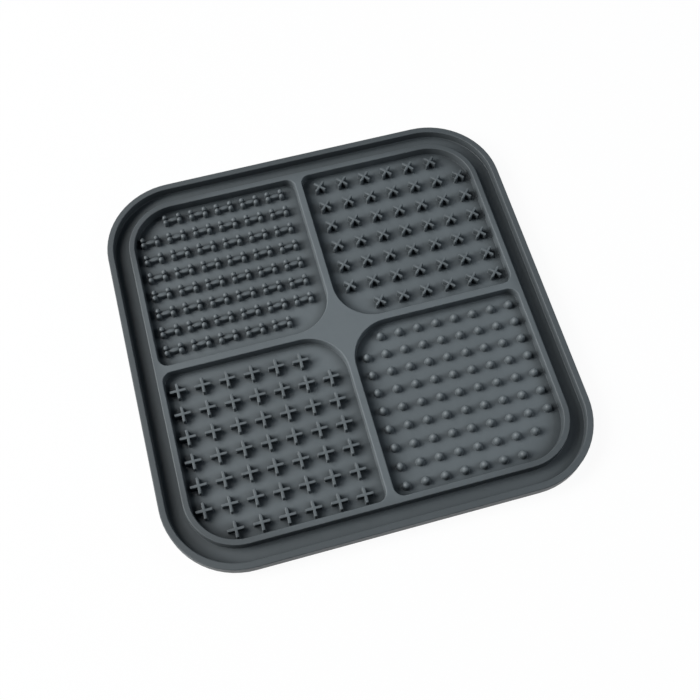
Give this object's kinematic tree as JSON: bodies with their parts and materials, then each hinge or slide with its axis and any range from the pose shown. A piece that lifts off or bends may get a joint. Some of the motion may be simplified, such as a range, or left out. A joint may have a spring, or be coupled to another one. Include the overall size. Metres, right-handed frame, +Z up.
{
  "type": "lick mat",
  "caption": "Square silicone lick mat with rounded corners: a raised rim and drip channel round pockets of bone, X, plus and dome studs.",
  "frame": {"origin": "centre of the flat underside", "axes": "+Z up out of the pockets, +Y from the plus and dome pockets to the bone and X pockets, +X from the bone and plus pockets to the X and dome pockets"},
  "size_m": [0.2, 0.2, 0.0065],
  "materials": {
    "silicone": "matte"
  },
  "bodies": {
    "root": {"base_sheet": "silicone", "outer_rim": "silicone", "pocket_frame": "silicone", "hub_star": "silicone", "divider_left": "silicone", "divider_right": "silicone", "divider_front": "silicone", "divider_back": "silicone", "bone_studs": "silicone", "x_studs": "silicone", "plus_studs": "silicone", "dome_studs": "silicone"}
  },
  "joints": []
}
